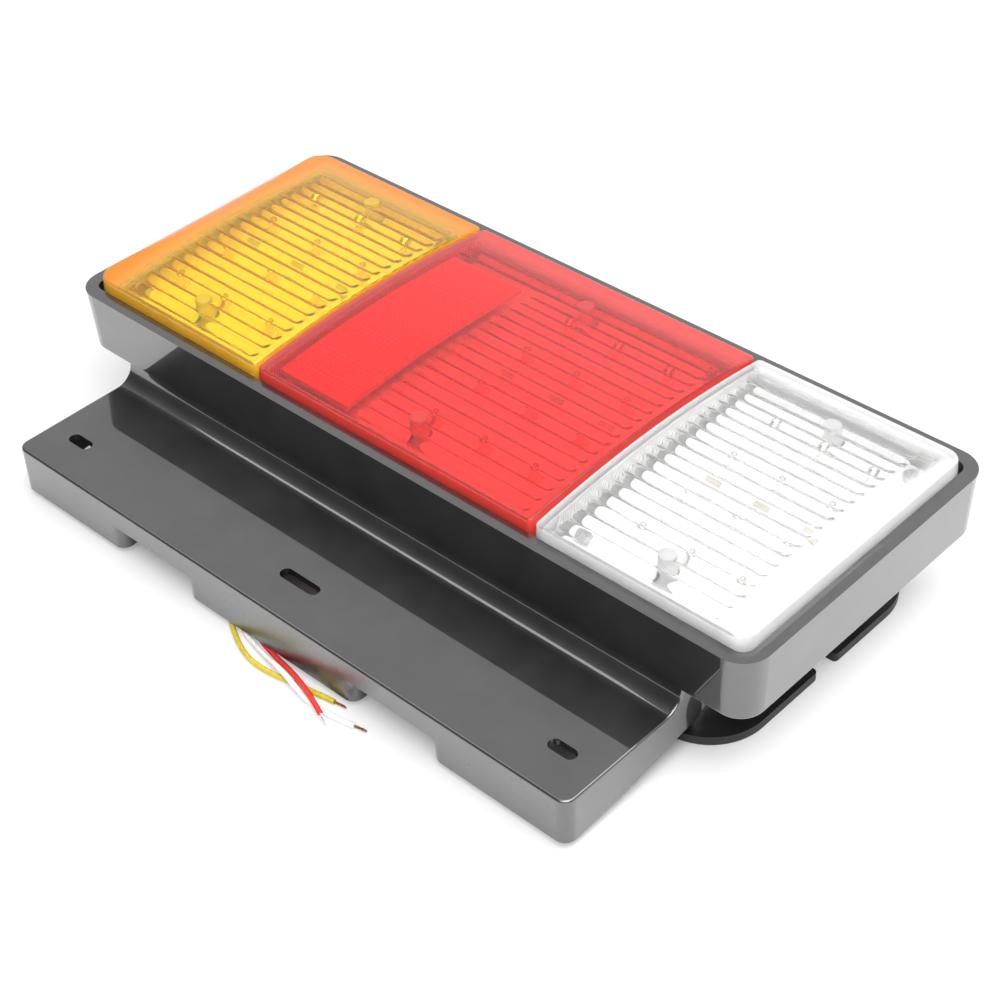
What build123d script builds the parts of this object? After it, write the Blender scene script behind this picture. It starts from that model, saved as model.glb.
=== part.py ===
from build123d import *
import math
import os

# Rear combination lamp lying on its back: lenses up, mounting wing towards -Y.
# Millimetres, +X along the lamp, +Z up. The origin is the middle of the lamp's footprint,
# on the surface that the rear cover lies on.

# Tray that carries the lenses
TRAY_LENGTH = 360.0
TRAY_WIDTH = 146.0
TRAY_DEPTH = 28.5
TRAY_CORNER = 12.0
TRAY_DRAFT = 3.0
TRAY_EDGE = 1.6
RIM_WIDTH = 6.0
RIM_CORNER = 5.0
WALL = 2.5
FLOOR = 3.0
LEDGE_WIDTH = 5.0
LEDGE_DEPTH = 4.5
LEDGE_THICKNESS = 3.5
CAVITY_CORNER = 6.0
DIVIDER = 5.0

# Box under the tray, and the cover that closes it
NECK_LENGTH = 304.0
NECK_WIDTH = 118.0
NECK_HEIGHT = 26.4
NECK_INSET = 10.0
NECK_CORNER = 10.0
COVER_LENGTH = 331.0
COVER_WIDTH = 127.5
COVER_THICKNESS = 4.5
COVER_CORNER = 25.0
COVER_EDGE = 1.0
COVER_INSET = 5.5
NOTCH_WIDTH = 11.0
NOTCH_DEPTH = 9.0
NOTCH_CORNER = 2.0

# Mounting wing along the front of the tray
WING_LENGTH = 302.6
WING_REACH = 60.0
WING_DROP = 35.5
WING_THICKNESS = 3.0
WING_CORNER = 5.0
WING_EDGE = 1.0
WING_ROOT_RADIUS = 8.5
SKIRT_HEIGHT = 10.0
PAD_CLEARANCE = 3.0
PAD_GAP = 39.0
MIDDLE_PAD_LENGTH = 94.0
PAD_KNEE = 35.0
PAD_KNEE_RISE = 3.6
PAD_RISE = 9.0
SLOT_SPACING = 265.8
SLOT_SETBACK = 19.0
SLOT_WIDTH = 5.5
SLOT_LENGTH = 12.4
MIDDLE_SLOT_LENGTH = 20.3

# Lenses, seal and reflex reflector
AMBER_RED_JOINT = -72.0
RED_CLEAR_JOINT = 76.5
LENS_CLEARANCE = 0.4
LENS_GAP = 0.6
LENS_WALL = 2.6
LENS_CROWN = 9.4
LENS_CROWN_DROP = 4.8
LENS_END_REACH = 14.0
LENS_END_DROP = 4.3
LENS_DRAFT = 4.0
LENS_CORNER = 8.0
LENS_JOINT_CORNER = 2.8
LENS_INNER_CORNER = 0.2
LENS_EDGE = 1.0
LENS_BOSS = 7.0
LENS_BOSS_INSET = 18.0
FLUTE_COUNT = 20
FLUTE_MARGIN = 4.6
FLUTE_END = 5.5
FLUTE_GAP = 0.3
FLUTE_DEPTH = 1.0
FLUTE_ROOT = 0.8
SEAL_THICKNESS = 1.0
SEAL_WIDTH = 4.0
REFLEX_LENGTH = 38.0
REFLEX_WIDTH = 100.0
REFLEX_CLEARANCE = 4.0
REFLEX_THICKNESS = 2.4
REFLEX_OFFSET = 8.0

# Circuit boards and their parts
BOARD_THICKNESS = 1.6
BOARD_DEPTH = 6.0
BOARD_MARGIN = 3.0
BOARD_POST = 7.0
BOARD_POST_INSET = 7.0
BOSS_CLEARANCE = 0.8
LED_DIAMETER = 5.0
LED_HEIGHT = 8.0
LED_ROWS = 4
LED_COLUMNS = 3
LED_BOSS_GAP = 3.6
AMBER_LED_PITCH = 28.0
RED_LED_PITCH = 26.0
RED_LED_SHIFT = 25.0
CLEAR_LED_PITCH = 22.5
CLEAR_LED_SHIFT = 4.0
RESISTOR_LENGTH = 6.4
RESISTOR_WIDTH = 3.2
RESISTOR_HEIGHT = 1.2
LEAD_HOLE = 8.0

# Screws
SCREW_SHANK = 3.0
SCREW_HEAD = 6.0
SCREW_HEAD_HEIGHT = 2.2
SCREW_GRIP = 8.0
SCREW_CLEARANCE = 0.1
HEAD_CLEARANCE = 0.4
COVER_POST = 8.0
COVER_POST_INSET = 12.0
COVER_POST_CLEARANCE = 5.0

# Grommet and wires
GROMMET_X = -35.0
GROMMET_HEIGHT = 12.0
GROMMET_BORE = 9.0
GROMMET_FLANGE = 12.0
GROMMET_FLANGE_THICKNESS = 2.0
WIRE_DIAMETER = 2.2
WIRE_PITCH = 2.6
STRAND_DIAMETER = 1.3
STRAND_LENGTH = 6.0
BEND_SHARE = 0.45

# Levels and places that follow from the sizes above
TRAY_BOTTOM = COVER_THICKNESS + NECK_HEIGHT
RIM_TOP = TRAY_BOTTOM + TRAY_DEPTH
WING_TOP = RIM_TOP - WING_DROP
WING_UNDER = WING_TOP - WING_THICKNESS
TRAY_FRONT = (WING_REACH - TRAY_WIDTH) / 2
TRAY_MIDDLE = TRAY_FRONT + TRAY_WIDTH / 2
WALL_LEAN = TRAY_DEPTH * math.tan(math.radians(TRAY_DRAFT))
WING_FRONT = TRAY_FRONT - WING_REACH
NECK_FRONT = TRAY_FRONT + NECK_INSET
NECK_MIDDLE = NECK_FRONT + NECK_WIDTH / 2
COVER_MIDDLE = TRAY_FRONT + COVER_INSET + COVER_WIDTH / 2
FLOOR_TOP = TRAY_BOTTOM + FLOOR
LEDGE_TOP = RIM_TOP - LEDGE_DEPTH
POCKET_LENGTH = TRAY_LENGTH - 2 * RIM_WIDTH
POCKET_WIDTH = TRAY_WIDTH - 2 * RIM_WIDTH
CAVITY_LENGTH = POCKET_LENGTH - 2 * LEDGE_WIDTH
CAVITY_WIDTH = POCKET_WIDTH - 2 * LEDGE_WIDTH
LENS_BOTTOM = LEDGE_TOP + SEAL_THICKNESS
LENS_LENGTH = POCKET_LENGTH - 2 * LENS_CLEARANCE
LENS_WIDTH = POCKET_WIDTH - 2 * LENS_CLEARANCE
CROWN_RADIUS = ((LENS_WIDTH / 2) ** 2 + LENS_CROWN_DROP**2) / (2 * LENS_CROWN_DROP)
LENS_END_RADIUS = (LENS_END_REACH**2 + LENS_END_DROP**2) / (2 * LENS_END_DROP)
CROWN_TOP = RIM_TOP + LENS_CROWN
FLUTE_PITCH = (LENS_WIDTH - 2 * FLUTE_MARGIN) / FLUTE_COUNT
FLUTE_WIDTH = FLUTE_PITCH - FLUTE_GAP
FLUTE_RADIUS = ((FLUTE_WIDTH / 2) ** 2 + FLUTE_DEPTH**2) / (2 * FLUTE_DEPTH)
BOARD_TOP = RIM_TOP - BOARD_DEPTH
BOARD_BOTTOM = BOARD_TOP - BOARD_THICKNESS
PILOT = SCREW_SHANK + 2 * SCREW_CLEARANCE
BOSS_REACH = LENS_WIDTH / 2 - LENS_BOSS_INSET
LED_REACH = BOSS_REACH - LENS_BOSS / 2 - LED_BOSS_GAP - LED_DIAMETER / 2
LED_ROW_PITCH = 2 * LED_REACH / (LED_ROWS - 1)
COVER_POST_REACH = BOSS_REACH - SCREW_HEAD / 2 - COVER_POST_CLEARANCE - COVER_POST / 2

# Where each colour's lens starts and ends along X, and where its chamber does
JOINTS = (AMBER_RED_JOINT, RED_CLEAR_JOINT)
LENS_SPANS = {
    "amber": (-LENS_LENGTH / 2, AMBER_RED_JOINT - LENS_GAP / 2),
    "red": (AMBER_RED_JOINT + LENS_GAP / 2, RED_CLEAR_JOINT - LENS_GAP / 2),
    "clear": (RED_CLEAR_JOINT + LENS_GAP / 2, LENS_LENGTH / 2),
}
CHAMBERS = {
    "amber": (-CAVITY_LENGTH / 2, AMBER_RED_JOINT - DIVIDER / 2),
    "red": (AMBER_RED_JOINT + DIVIDER / 2, RED_CLEAR_JOINT - DIVIDER / 2),
    "clear": (RED_CLEAR_JOINT + DIVIDER / 2, CAVITY_LENGTH / 2),
}
REFLEX_START = LENS_SPANS["red"][0] + REFLEX_OFFSET
REFLEX_END = REFLEX_START + REFLEX_LENGTH
REFLEX_FRONT = TRAY_MIDDLE - LENS_WIDTH / 2 + LENS_WALL + REFLEX_CLEARANCE
REFLEX_MIDDLE = REFLEX_FRONT + REFLEX_WIDTH / 2
LED_PITCHES = {"amber": AMBER_LED_PITCH, "red": RED_LED_PITCH, "clear": CLEAR_LED_PITCH}
LED_SHIFTS = {"amber": 0.0, "red": RED_LED_SHIFT, "clear": CLEAR_LED_SHIFT}


def prism(length, width, corner, x, y, bottom, height):
    """An upright block with rounded corners, centred on x and y."""
    plan = Plane((x, y, bottom)) * RectangleRounded(length, width, corner)
    return extrude(plan, amount=height)


def post(diameter, x, y, bottom, height):
    """An upright round bar."""
    return Pos(x, y, bottom + height / 2) * Cylinder(diameter / 2, height)


def across(diameter, x, y, z, length):
    """A round bar along Y that starts at y."""
    return Pos(x, y + length / 2, z) * Rot(90, 0, 0) * Cylinder(diameter / 2, length)


def bar_along_x(points, length):
    """A closed outline in Y and Z, drawn out to both sides of X = 0."""
    outline = Plane.YZ.offset(-length / 2) * make_face(Polyline(*points, close=True))
    return extrude(outline, amount=length)


# Places that several pieces share


def lens_boss_places(colour):
    """Where the lens screws stand: behind the middle of the lens's long sides."""
    start, end = LENS_SPANS[colour]
    return [((start + end) / 2, TRAY_MIDDLE + side * BOSS_REACH) for side in (-1, 1)]


def board_box(colour):
    """A board's length, width and middle along X."""
    start, end = CHAMBERS[colour]
    return end - start - 2 * BOARD_MARGIN, CAVITY_WIDTH - 2 * BOARD_MARGIN, (start + end) / 2


def board_post_places(colour):
    """Where the posts under a board stand."""
    length, width, middle = board_box(colour)
    reach_x = length / 2 - BOARD_POST_INSET
    reach_y = width / 2 - BOARD_POST_INSET
    return [(middle + i * reach_x, TRAY_MIDDLE + j * reach_y) for i in (-1, 1) for j in (-1, 1)]


def board_screw_places(colour):
    """Two screws hold a board, on opposite corners."""
    places = board_post_places(colour)
    return [places[0], places[3]]


def led_places(colour):
    """The grid of light-emitting diodes on a board."""
    middle = board_box(colour)[2] + LED_SHIFTS[colour]
    columns = [middle + (i - (LED_COLUMNS - 1) / 2) * LED_PITCHES[colour] for i in range(LED_COLUMNS)]
    rows = [TRAY_MIDDLE + (j - (LED_ROWS - 1) / 2) * LED_ROW_PITCH for j in range(LED_ROWS)]
    return [(x, y) for x in columns for y in rows]


def resistor_places(colour):
    """One resistor stands at the middle of each column of diodes."""
    return sorted({(x, TRAY_MIDDLE) for x, y in led_places(colour)})


def lead_hole_place(colour):
    """Where a chamber's leads pass through the floor."""
    return board_box(colour)[2], TRAY_MIDDLE


def cover_post_places():
    """Where the cover is screwed to the box under the tray, clear of the lens screws."""
    reach = NECK_LENGTH / 2 - COVER_POST_INSET
    return [(i * reach, TRAY_MIDDLE + j * COVER_POST_REACH) for i in (-1, 1) for j in (-1, 1)]


# Housing


def tray_block():
    """The tray before it is hollowed: drafted walls and a softened lower edge."""
    rim = Plane((0, TRAY_MIDDLE, RIM_TOP), z_dir=(0, 0, -1))
    outline = rim * RectangleRounded(TRAY_LENGTH, TRAY_WIDTH, TRAY_CORNER)
    block = extrude(outline, amount=TRAY_DEPTH, taper=TRAY_DRAFT)
    return fillet(block.faces().sort_by(Axis.Z)[0].edges(), TRAY_EDGE)


def tray_groove():
    """The gap between the tray's outer skin and its chamber walls, open below."""
    height = LEDGE_TOP - LEDGE_THICKNESS - TRAY_BOTTOM
    skin = 2 * (WALL_LEAN + WALL)
    outer = prism(
        TRAY_LENGTH - skin, TRAY_WIDTH - skin, TRAY_CORNER - WALL, 0, TRAY_MIDDLE, TRAY_BOTTOM, height
    )
    inner = prism(
        CAVITY_LENGTH + 2 * WALL,
        CAVITY_WIDTH + 2 * WALL,
        CAVITY_CORNER + WALL,
        0,
        TRAY_MIDDLE,
        TRAY_BOTTOM,
        height,
    )
    return outer - inner


def wing_shell():
    """The wing: a plate that rounds up into the tray's front wall, with a skirt below."""
    foot = TRAY_FRONT + WALL_LEAN
    lower = WING_TOP - SKIRT_HEIGHT
    upper = WING_TOP + WING_ROOT_RADIUS + TRAY_EDGE
    back = NECK_FRONT + WALL
    block = bar_along_x(
        [
            (WING_FRONT, lower),
            (WING_FRONT, WING_TOP),
            (foot, WING_TOP),
            (foot, upper),
            (back, upper),
            (back, lower),
        ],
        WING_LENGTH,
    )
    root = block.edges().filter_by(Axis.X).sort_by_distance((0, foot, WING_TOP))[0]
    block = fillet(root, WING_ROOT_RADIUS)
    block = fillet(block.edges().filter_by(Axis.Z).group_by(Axis.Y)[0], WING_CORNER)
    plate = [f for f in block.faces().filter_by(Axis.Z) if abs(f.center().Z - WING_TOP) < 0.01][0]
    front = plate.edges().sort_by(Axis.Y)[0]
    block = fillet(front, WING_EDGE)
    inside = WING_LENGTH - 2 * WING_THICKNESS
    depth = NECK_FRONT - WING_FRONT - WING_THICKNESS
    middle = NECK_FRONT - depth / 2
    block -= prism(inside, depth, WING_CORNER - WING_THICKNESS, 0, middle, lower, WING_UNDER - lower)
    root_depth = NECK_FRONT - foot - WALL
    root_height = TRAY_BOTTOM - WING_THICKNESS - lower
    root_room = Box(inside, root_depth, root_height)
    return block - Pos(0, NECK_FRONT - root_depth / 2, lower + root_height / 2) * root_room


def wing_pad(left, right):
    """A deeper length of the skirt whose sides run back to the neck and rise on the way."""
    back = NECK_FRONT + WING_CORNER
    height = WING_UNDER - PAD_CLEARANCE + WING_THICKNESS / 2
    middle = (left + right) / 2
    outer = prism(
        right - left,
        back - WING_FRONT,
        WING_CORNER,
        middle,
        (back + WING_FRONT) / 2,
        PAD_CLEARANCE,
        height,
    )
    front = WING_FRONT + WING_THICKNESS
    inner = prism(
        right - left - 2 * WING_THICKNESS,
        NECK_FRONT - front,
        WING_CORNER - WING_THICKNESS,
        middle,
        (NECK_FRONT + front) / 2,
        PAD_CLEARANCE,
        height,
    )
    below = bar_along_x(
        [
            (WING_FRONT, PAD_CLEARANCE),
            (WING_FRONT + PAD_KNEE, PAD_CLEARANCE + PAD_KNEE_RISE),
            (NECK_FRONT, PAD_CLEARANCE + PAD_RISE),
            (back, PAD_CLEARANCE + PAD_RISE),
            (back, 0),
            (WING_FRONT, 0),
        ],
        TRAY_LENGTH,
    )
    return outer - inner - below


def wing_slots():
    """The three mounting slots, along X."""
    y = WING_FRONT + SLOT_SETBACK
    side = SLOT_SPACING / 2
    slots = []
    for x, length in ((-side, SLOT_LENGTH), (0, MIDDLE_SLOT_LENGTH), (side, SLOT_LENGTH)):
        plan = Plane((x, y, WING_UNDER)) * SlotOverall(length, SLOT_WIDTH)
        slots.append(extrude(plan, amount=WING_THICKNESS))
    return slots


def make_housing():
    """One moulding: tray, chamber walls, box under the tray and mounting wing."""
    inner_pad = MIDDLE_PAD_LENGTH / 2
    outer_pad = inner_pad + PAD_GAP
    end = WING_LENGTH / 2
    body = tray_block() - tray_groove()
    body += prism(NECK_LENGTH, NECK_WIDTH, NECK_CORNER, 0, NECK_MIDDLE, COVER_THICKNESS, NECK_HEIGHT)
    body += wing_shell()
    for left, right in ((-end, -outer_pad), (-inner_pad, inner_pad), (outer_pad, end)):
        body += wing_pad(left, right)
    body -= prism(
        NECK_LENGTH - 2 * WALL,
        NECK_WIDTH - 2 * WALL,
        NECK_CORNER - WALL,
        0,
        NECK_MIDDLE,
        COVER_THICKNESS,
        NECK_HEIGHT,
    )
    body -= prism(POCKET_LENGTH, POCKET_WIDTH, RIM_CORNER, 0, TRAY_MIDDLE, LEDGE_TOP, LEDGE_DEPTH)
    body -= prism(
        CAVITY_LENGTH, CAVITY_WIDTH, CAVITY_CORNER, 0, TRAY_MIDDLE, FLOOR_TOP, LEDGE_TOP - FLOOR_TOP
    )
    for x in JOINTS:
        height = LEDGE_TOP - FLOOR_TOP
        body += Pos(x, TRAY_MIDDLE, FLOOR_TOP + height / 2) * Box(DIVIDER, CAVITY_WIDTH, height)
    for x, y in cover_post_places():
        body += post(COVER_POST, x, y, COVER_THICKNESS, NECK_HEIGHT)
        body -= post(PILOT, x, y, COVER_THICKNESS, SCREW_GRIP)
    for colour in LENS_SPANS:
        for x, y in board_post_places(colour):
            body += post(BOARD_POST, x, y, FLOOR_TOP, BOARD_BOTTOM - FLOOR_TOP)
        for x, y in board_screw_places(colour):
            body -= post(PILOT, x, y, BOARD_BOTTOM - SCREW_GRIP, SCREW_GRIP)
        for x, y in lens_boss_places(colour):
            body -= post(PILOT, x, y, TRAY_BOTTOM, FLOOR)
        body -= post(LEAD_HOLE, *lead_hole_place(colour), TRAY_BOTTOM, FLOOR)
    for slot in wing_slots():
        body -= slot
    body -= across(GROMMET_BORE, GROMMET_X, NECK_FRONT, GROMMET_HEIGHT, WALL)
    return body


def make_rear_cover():
    """The plate that closes the box, with a notch in each short side and sunk screw seats."""
    plate = prism(COVER_LENGTH, COVER_WIDTH, COVER_CORNER, 0, COVER_MIDDLE, 0, COVER_THICKNESS)
    for side in (-1, 1):
        x = side * COVER_LENGTH / 2
        plate -= prism(2 * NOTCH_DEPTH, NOTCH_WIDTH, NOTCH_CORNER, x, COVER_MIDDLE, 0, COVER_THICKNESS)
    lips = plate.edges().filter_by(Axis.Z).sort_by(lambda e: abs(e.center().Y - COVER_MIDDLE))
    mouths = [e for e in lips if abs(abs(e.center().X) - COVER_LENGTH / 2) < 0.01][:4]
    plate = fillet(mouths, NOTCH_CORNER)
    plate = fillet(plate.faces().sort_by(Axis.Z)[0].edges(), COVER_EDGE)
    for x, y in cover_post_places():
        plate -= post(PILOT, x, y, 0, COVER_THICKNESS)
        plate -= post(SCREW_HEAD + HEAD_CLEARANCE, x, y, 0, SCREW_HEAD_HEIGHT + HEAD_CLEARANCE)
    return plate


# Lenses, seal and reflector


def crown_height(y):
    """Level of the lenses' outer face at y."""
    return CROWN_TOP - CROWN_RADIUS + math.sqrt(CROWN_RADIUS**2 - (y - TRAY_MIDDLE) ** 2)


def crown_bar(depth, bottom):
    """A long bar under the lenses' crowned face, lowered by depth."""
    radius = CROWN_RADIUS - depth
    half = LENS_WIDTH / 2
    top = CROWN_TOP - depth
    edge = top - radius + math.sqrt(radius**2 - half**2)
    y0 = TRAY_MIDDLE - half
    y1 = TRAY_MIDDLE + half
    arc = ThreePointArc((y0, edge), (TRAY_MIDDLE, top), (y1, edge))
    sides = Polyline((y1, edge), (y1, bottom), (y0, bottom), (y0, edge))
    section = Plane.YZ.offset(-TRAY_LENGTH / 2) * make_face([arc, sides])
    return extrude(section, amount=TRAY_LENGTH)


def end_bar(depth):
    """A wide bar under the lenses that rolls down at both ends, lowered by depth."""
    radius = LENS_END_RADIUS - depth
    top = CROWN_TOP - depth
    start = LENS_LENGTH / 2 - LENS_END_REACH
    turn = math.asin(LENS_END_REACH / LENS_END_RADIUS)
    low = top - radius * (1 - math.cos(turn))
    end = start + radius * math.sin(turn)
    halfway = (start + radius * math.sin(turn / 2), top - radius * (1 - math.cos(turn / 2)))
    arc = ThreePointArc((start, top), halfway, (end, low))
    out = end + LENS_WALL
    rest = Polyline((end, low), (out, low), (out, LENS_BOTTOM), (0, LENS_BOTTOM), (0, top), (start, top))
    half = make_face([arc, rest])
    section = Plane.XZ.offset(-TRAY_MIDDLE) * (half + mirror(half, about=Plane.YZ))
    return extrude(section, amount=LENS_WIDTH, both=True)


def lens_block(colour, inset):
    """The room of one lens under the crown, drafted outside and rounded at the joints."""
    start, end = LENS_SPANS[colour]
    height = CROWN_TOP - LENS_BOTTOM
    plan = RectangleRounded(LENS_LENGTH - 2 * inset, LENS_WIDTH - 2 * inset, LENS_CORNER - inset)
    field = extrude(Plane((0, TRAY_MIDDLE, LENS_BOTTOM)) * plan, amount=height, taper=LENS_DRAFT)
    length = end - start - 2 * inset
    corner = max(LENS_JOINT_CORNER - inset, LENS_INNER_CORNER)
    span = prism(
        length, LENS_WIDTH - 2 * inset, corner, (start + end) / 2, TRAY_MIDDLE, LENS_BOTTOM, height
    )
    return field & span & crown_bar(inset, LENS_BOTTOM)


def flute_spans(colour):
    """Each flute's place across the lens, its start and its end. The reflex plate's room has none."""
    spans = []
    start_gap = LENS_END_REACH if colour == "amber" else FLUTE_END
    end_gap = LENS_END_REACH if colour == "clear" else FLUTE_END
    for i in range(FLUTE_COUNT):
        y = TRAY_MIDDLE + (i - (FLUTE_COUNT - 1) / 2) * FLUTE_PITCH
        start, end = LENS_SPANS[colour]
        if colour == "red" and y - FLUTE_PITCH / 2 < REFLEX_MIDDLE + REFLEX_WIDTH / 2:
            start = REFLEX_END
        spans.append((y, start + start_gap, end - end_gap))
    return spans


def flute(y, start, end):
    """A round-ended bar under the lens wall that bulges down."""
    middle = (start + end) / 2
    level = crown_height(y) - LENS_WALL
    lowest = level - FLUTE_DEPTH
    bar = Pos(middle, y, lowest + FLUTE_RADIUS) * Rot(0, 90, 0) * Cylinder(FLUTE_RADIUS, end - start)
    plan = Plane((middle, y, lowest)) * SlotOverall(end - start, FLUTE_WIDTH)
    return bar & extrude(plan, amount=FLUTE_DEPTH + FLUTE_ROOT)


def make_lens(colour):
    """A hollow lens, open below, with flutes inside and two screw bosses."""
    outer = lens_block(colour, 0)
    shell = fillet(outer.faces().sort_by(Axis.Z)[-1].edges(), LENS_EDGE) & end_bar(0)
    shell -= lens_block(colour, LENS_WALL) & end_bar(LENS_WALL)
    shell = shell.fuse(*[flute(*span) for span in flute_spans(colour)])
    for x, y in lens_boss_places(colour):
        shell += post(LENS_BOSS, x, y, FLOOR_TOP, crown_height(y) - LENS_WALL / 2 - FLOOR_TOP)
        shell -= post(PILOT, x, y, FLOOR_TOP, SCREW_GRIP)
    return shell


def make_seal():
    """The seal under the lenses: a frame on the ledge with a bar on each divider."""
    frame = prism(LENS_LENGTH, LENS_WIDTH, LENS_CORNER, 0, TRAY_MIDDLE, LEDGE_TOP, SEAL_THICKNESS)
    frame -= prism(
        LENS_LENGTH - 2 * SEAL_WIDTH,
        LENS_WIDTH - 2 * SEAL_WIDTH,
        LENS_CORNER - SEAL_WIDTH,
        0,
        TRAY_MIDDLE,
        LEDGE_TOP,
        SEAL_THICKNESS,
    )
    for x in JOINTS:
        bar = Box(DIVIDER, LENS_WIDTH - SEAL_WIDTH, SEAL_THICKNESS)
        frame += Pos(x, TRAY_MIDDLE, LEDGE_TOP + SEAL_THICKNESS / 2) * bar
    return frame


def make_reflex_reflector():
    """The reflex plate that lies against the back of the red lens."""
    middle = (REFLEX_START + REFLEX_END) / 2
    room = Pos(middle, REFLEX_MIDDLE, CROWN_TOP) * Box(REFLEX_LENGTH, REFLEX_WIDTH, CROWN_TOP)
    outer = crown_bar(LENS_WALL, BOARD_TOP)
    return room & (outer - crown_bar(LENS_WALL + REFLEX_THICKNESS, BOARD_TOP))


# Boards and what stands on them


def make_board(colour):
    """A circuit board with holes for its screws, its leads and the lens bosses."""
    length, width, middle = board_box(colour)
    board = Pos(middle, TRAY_MIDDLE, BOARD_BOTTOM + BOARD_THICKNESS / 2) * Box(length, width, BOARD_THICKNESS)
    for x, y in board_screw_places(colour):
        board -= post(PILOT, x, y, BOARD_BOTTOM, BOARD_THICKNESS)
    for x, y in lens_boss_places(colour):
        board -= post(LENS_BOSS + 2 * BOSS_CLEARANCE, x, y, BOARD_BOTTOM, BOARD_THICKNESS)
    return board


def make_leds(colour):
    """The light-emitting diodes of one board."""
    return Compound(children=[post(LED_DIAMETER, x, y, BOARD_TOP, LED_HEIGHT) for x, y in led_places(colour)])


def make_resistors():
    """The series resistors of all three boards."""
    chip = Box(RESISTOR_LENGTH, RESISTOR_WIDTH, RESISTOR_HEIGHT)
    level = BOARD_TOP + RESISTOR_HEIGHT / 2
    places = [place for colour in LENS_SPANS for place in resistor_places(colour)]
    return Compound(children=[Pos(x, y, level) * chip for x, y in places])


# Screws: a round head and a plain shank that points up or down


def screw(x, y, seat, length, up):
    """A screw whose head bears on the level of its seat."""
    if up:
        return post(SCREW_HEAD, x, y, seat - SCREW_HEAD_HEIGHT, SCREW_HEAD_HEIGHT) + post(
            SCREW_SHANK, x, y, seat, length
        )
    return post(SCREW_HEAD, x, y, seat, SCREW_HEAD_HEIGHT) + post(SCREW_SHANK, x, y, seat - length, length)


def make_lens_screws():
    """Screws from below, through the tray's floor into the lens bosses."""
    places = [place for colour in LENS_SPANS for place in lens_boss_places(colour)]
    length = FLOOR + SCREW_GRIP - 2 * SCREW_CLEARANCE
    return Compound(children=[screw(x, y, TRAY_BOTTOM, length, True) for x, y in places])


def make_board_screws():
    """Screws from above, through the boards into their posts."""
    places = [place for colour in LENS_SPANS for place in board_screw_places(colour)]
    length = BOARD_THICKNESS + SCREW_GRIP - 2 * SCREW_CLEARANCE
    return Compound(children=[screw(x, y, BOARD_TOP, length, False) for x, y in places])


def make_cover_screws():
    """Screws from below, sunk in the rear cover."""
    seat = SCREW_HEAD_HEIGHT + HEAD_CLEARANCE
    length = COVER_THICKNESS - seat + SCREW_GRIP - 2 * SCREW_CLEARANCE
    return Compound(children=[screw(x, y, seat, length, True) for x, y in cover_post_places()])


# Grommet and wires


def make_grommet():
    """The rubber grommet in the front wall of the box, with a flange on both faces."""
    face = NECK_FRONT - GROMMET_FLANGE_THICKNESS
    inside = NECK_FRONT + WALL
    plug = across(GROMMET_BORE, GROMMET_X, face, GROMMET_HEIGHT, inside - face)
    plug += across(GROMMET_FLANGE, GROMMET_X, face, GROMMET_HEIGHT, GROMMET_FLANGE_THICKNESS)
    plug += across(GROMMET_FLANGE, GROMMET_X, inside, GROMMET_HEIGHT, GROMMET_FLANGE_THICKNESS)
    return plug


WIRE_START = NECK_FRONT - GROMMET_FLANGE_THICKNESS

# The points that each wire bends at, from the grommet's face to the cut end
YELLOW_POINTS = [
    (GROMMET_X - WIRE_PITCH, WIRE_START, GROMMET_HEIGHT),
    (GROMMET_X - WIRE_PITCH, -55.0, GROMMET_HEIGHT),
    (-40.0, -80.0, 1.6),
    (-30.0, -98.0, 1.2),
    (-9.3, -109.6, 1.2),
    (5.2, -111.6, 1.2),
    (24.0, -107.6, 1.2),
    (38.5, -105.4, 1.2),
]
WHITE_POINTS = [
    (GROMMET_X, WIRE_START, GROMMET_HEIGHT),
    (GROMMET_X, -56.0, GROMMET_HEIGHT),
    (-30.0, -82.0, 1.6),
    (-20.5, -101.2, 1.2),
    (0.0, -105.8, 1.3),
    (11.0, -108.2, 3.9),
    (20.0, -110.2, 3.9),
    (31.0, -111.9, 1.3),
    (43.0, -111.4, 1.2),
    (53.0, -109.2, 1.2),
]
RED_POINTS = [
    (GROMMET_X + WIRE_PITCH, WIRE_START, GROMMET_HEIGHT),
    (GROMMET_X + WIRE_PITCH, -57.0, GROMMET_HEIGHT),
    (-23.0, -83.0, 1.6),
    (-12.0, -99.8, 1.2),
    (5.0, -103.8, 1.4),
    (15.0, -106.4, 3.9),
    (25.0, -108.9, 4.3),
    (33.0, -111.4, 4.0),
    (40.0, -113.9, 2.7),
]


def bend_radii(points):
    """The arc at each bend takes the same share of the shorter run beside it."""
    radii = []
    for before, here, after in zip(points, points[1:], points[2:]):
        run_in = Vector(*here) - Vector(*before)
        run_out = Vector(*after) - Vector(*here)
        half_turn = math.radians(run_in.get_angle(run_out)) / 2
        radii.append(BEND_SHARE * min(run_in.length, run_out.length) / math.tan(half_turn))
    return radii


def make_wire(name, points):
    """A wire along straight runs and arcs, and the bare strands at its cut end."""
    radii = bend_radii(points)
    path = FilletPolyline(*points, radius=radii)
    print(name, "length", round(path.length, 1), "bend radii", [round(r, 1) for r in radii])
    covering = sweep(Plane(path @ 0, z_dir=path % 0) * Circle(WIRE_DIAMETER / 2), path=path)
    strands = extrude(Plane(path @ 1, z_dir=path % 1) * Circle(STRAND_DIAMETER / 2), amount=STRAND_LENGTH)
    return covering, strands


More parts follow.
